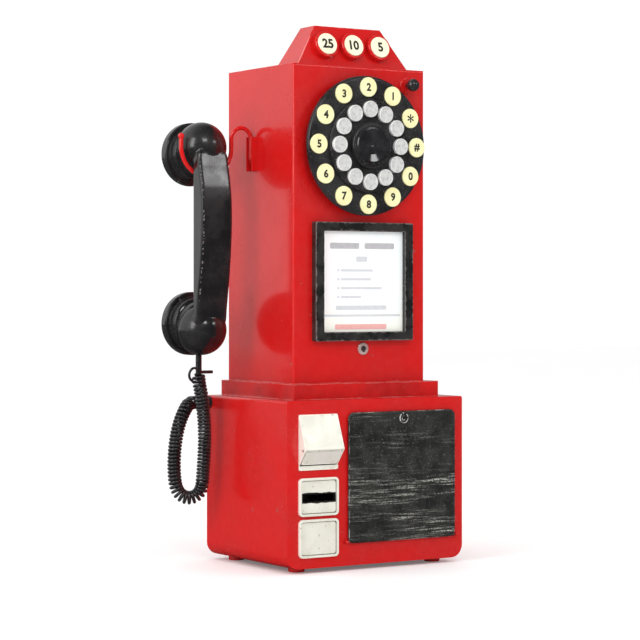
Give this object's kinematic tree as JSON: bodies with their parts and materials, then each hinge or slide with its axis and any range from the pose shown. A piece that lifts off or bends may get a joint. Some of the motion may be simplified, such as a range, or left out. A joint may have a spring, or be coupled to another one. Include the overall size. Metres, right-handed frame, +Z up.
{
  "type": "table-top payphone model",
  "caption": "Red sheet-metal table-top payphone: push-button dial, coin buttons, coin return, vault door and a handset on a wire hook with a curly cord.",
  "frame": {"origin": "bottom centre of the whole object, on the face that it stands on", "axes": "+Z up, +Y to the back, +X to the right seen from the front; the dial faces -Y and the handset hangs on the -X side"},
  "size_m": [0.25, 0.16, 0.5],
  "materials": {
    "red_paint": "satin gloss paint, worn pale along the edges",
    "dial_black": "satin black",
    "black_gloss": "glossy black",
    "cream_plastic": "cream with black figures",
    "button_cream": "pale cream with black figures",
    "key_silver": "fine textured silver",
    "circuit_board": "green board",
    "steel": "plain sheet steel",
    "frame_black": "black, rubbed at the edges",
    "card_paper": "printed card",
    "lock_metal": "dull metal",
    "cream_enamel": "aged off-white enamel, grimy in the corners",
    "vault_charcoal": "charcoal with pale dry-brushed streaks",
    "brass": "satin",
    "handset_black": "glossy black",
    "capsule_metal": "plain",
    "cord_black": "black cord cover"
  },
  "bodies": {
    "cabinet": {"base_housing": "red_paint", "base_rear_cover": "red_paint", "feet": "red_paint", "plinth_collar": "red_paint", "tower_housing": "red_paint", "tower_rear_cover": "red_paint", "crown_housing": "red_paint", "cover_screws": "steel", "dial_plate": "dial_black", "dial_inner_ring": "dial_black", "dial_number_discs": "cream_plastic", "dial_hub_ring": "dial_black", "dial_hub_cap": "black_gloss", "keypad_board": "circuit_board", "coin_button_collars": "red_paint", "coin_switch_board": "circuit_board", "release_knob_collar": "red_paint", "card_frame": "frame_black", "instruction_card": "card_paper", "lock_escutcheon": "lock_metal", "coin_return_hood": "cream_enamel", "hinge_pins": "steel", "coin_return_cup": "steel", "column_frames": "cream_enamel", "slot_plate": "cream_enamel", "blank_plate": "cream_enamel", "coin_box": "steel", "coin_chute": "steel", "main_board": "circuit_board", "ringer": "brass", "hook_bracket": "red_paint", "curly_cord": "cord_black", "cord_gland": "cord_black"},
    "handset": {"handset_handle": "handset_black", "earpiece_cap": "handset_black", "mouthpiece_cap": "handset_black", "handset_capsules": "capsule_metal", "cord_stud": "cord_black"},
    "switch_hook": {"switch_hook": "red_paint"},
    "release_knob": {"release_knob": "black_gloss"},
    "coin_return_flap": {"coin_return_flap": "cream_enamel"},
    "vault_door": {"vault_door": "vault_charcoal", "vault_lock_ring": "lock_metal"},
    "vault_lock": {"vault_lock_core": "lock_metal"},
    "card_lock": {"lock_core": "lock_metal"},
    "key_01": {"dial_key_01": "key_silver"},
    "key_02": {"dial_key_02": "key_silver"},
    "key_03": {"dial_key_03": "key_silver"},
    "key_04": {"dial_key_04": "key_silver"},
    "key_05": {"dial_key_05": "key_silver"},
    "key_06": {"dial_key_06": "key_silver"},
    "key_07": {"dial_key_07": "key_silver"},
    "key_08": {"dial_key_08": "key_silver"},
    "key_09": {"dial_key_09": "key_silver"},
    "key_10": {"dial_key_10": "key_silver"},
    "key_11": {"dial_key_11": "key_silver"},
    "key_12": {"dial_key_12": "key_silver"},
    "button_25": {"coin_button_25": "button_cream"},
    "button_10": {"coin_button_10": "button_cream"},
    "button_5": {"coin_button_5": "button_cream"}
  },
  "joints": [
    {"name": "handset_lift", "type": "slide", "parent": "cabinet", "child": "handset", "axis": [0, 0, 1], "range_m": [0, 0.08]},
    {"name": "hook_rise", "type": "slide", "parent": "cabinet", "child": "switch_hook", "axis": [0, 0, 1], "range_m": [0, 0.0041]},
    {"name": "key_01_press", "type": "slide", "parent": "cabinet", "child": "key_01", "axis": [0, 1, 0], "range_m": [0, 0.0015], "stiffness_N_per_m": 200, "springref_m": -0.001},
    {"name": "key_02_press", "type": "slide", "parent": "cabinet", "child": "key_02", "axis": [0, 1, 0], "range_m": [0, 0.0015], "stiffness_N_per_m": 200, "springref_m": -0.001},
    {"name": "key_03_press", "type": "slide", "parent": "cabinet", "child": "key_03", "axis": [0, 1, 0], "range_m": [0, 0.0015], "stiffness_N_per_m": 200, "springref_m": -0.001},
    {"name": "key_04_press", "type": "slide", "parent": "cabinet", "child": "key_04", "axis": [0, 1, 0], "range_m": [0, 0.0015], "stiffness_N_per_m": 200, "springref_m": -0.001},
    {"name": "key_05_press", "type": "slide", "parent": "cabinet", "child": "key_05", "axis": [0, 1, 0], "range_m": [0, 0.0015], "stiffness_N_per_m": 200, "springref_m": -0.001},
    {"name": "key_06_press", "type": "slide", "parent": "cabinet", "child": "key_06", "axis": [0, 1, 0], "range_m": [0, 0.0015], "stiffness_N_per_m": 200, "springref_m": -0.001},
    {"name": "key_07_press", "type": "slide", "parent": "cabinet", "child": "key_07", "axis": [0, 1, 0], "range_m": [0, 0.0015], "stiffness_N_per_m": 200, "springref_m": -0.001},
    {"name": "key_08_press", "type": "slide", "parent": "cabinet", "child": "key_08", "axis": [0, 1, 0], "range_m": [0, 0.0015], "stiffness_N_per_m": 200, "springref_m": -0.001},
    {"name": "key_09_press", "type": "slide", "parent": "cabinet", "child": "key_09", "axis": [0, 1, 0], "range_m": [0, 0.0015], "stiffness_N_per_m": 200, "springref_m": -0.001},
    {"name": "key_10_press", "type": "slide", "parent": "cabinet", "child": "key_10", "axis": [0, 1, 0], "range_m": [0, 0.0015], "stiffness_N_per_m": 200, "springref_m": -0.001},
    {"name": "key_11_press", "type": "slide", "parent": "cabinet", "child": "key_11", "axis": [0, 1, 0], "range_m": [0, 0.0015], "stiffness_N_per_m": 200, "springref_m": -0.001},
    {"name": "key_12_press", "type": "slide", "parent": "cabinet", "child": "key_12", "axis": [0, 1, 0], "range_m": [0, 0.0015], "stiffness_N_per_m": 200, "springref_m": -0.001},
    {"name": "button_25_press", "type": "slide", "parent": "cabinet", "child": "button_25", "axis": [0, 0.9671, -0.2545], "range_m": [0, 0.002], "stiffness_N_per_m": 300, "springref_m": -0.001},
    {"name": "button_10_press", "type": "slide", "parent": "cabinet", "child": "button_10", "axis": [0, 0.9671, -0.2545], "range_m": [0, 0.002], "stiffness_N_per_m": 300, "springref_m": -0.001},
    {"name": "button_5_press", "type": "slide", "parent": "cabinet", "child": "button_5", "axis": [0, 0.9671, -0.2545], "range_m": [0, 0.002], "stiffness_N_per_m": 300, "springref_m": -0.001},
    {"name": "release_knob_press", "type": "slide", "parent": "cabinet", "child": "release_knob", "axis": [0, 1, 0], "range_m": [0, 0.003], "stiffness_N_per_m": 300, "springref_m": -0.001},
    {"name": "coin_return_swing", "type": "hinge", "parent": "cabinet", "child": "coin_return_flap", "pos_m": [-0.03525, -0.0764, 0.1112], "axis": [1, 0, 0], "range_deg": [0, 60]},
    {"name": "vault_door_open", "type": "hinge", "parent": "cabinet", "child": "vault_door", "pos_m": [0.0555, -0.0699, 0.0262], "axis": [1, 0, 0], "range_deg": [0, 90]},
    {"name": "vault_lock_turn", "type": "hinge", "parent": "vault_door", "child": "vault_lock", "pos_m": [0.0555, -0.07, 0.1372], "axis": [0, -1, 0], "range_deg": [0, 90]},
    {"name": "card_lock_turn", "type": "hinge", "parent": "cabinet", "child": "card_lock", "pos_m": [0.0315, -0.04, 0.2005], "axis": [0, -1, 0], "range_deg": [0, 90]}
  ],
  "couplings": [
    {"joint": "hook_rise", "follows": "handset_lift", "ratio": 0.05}
  ]
}
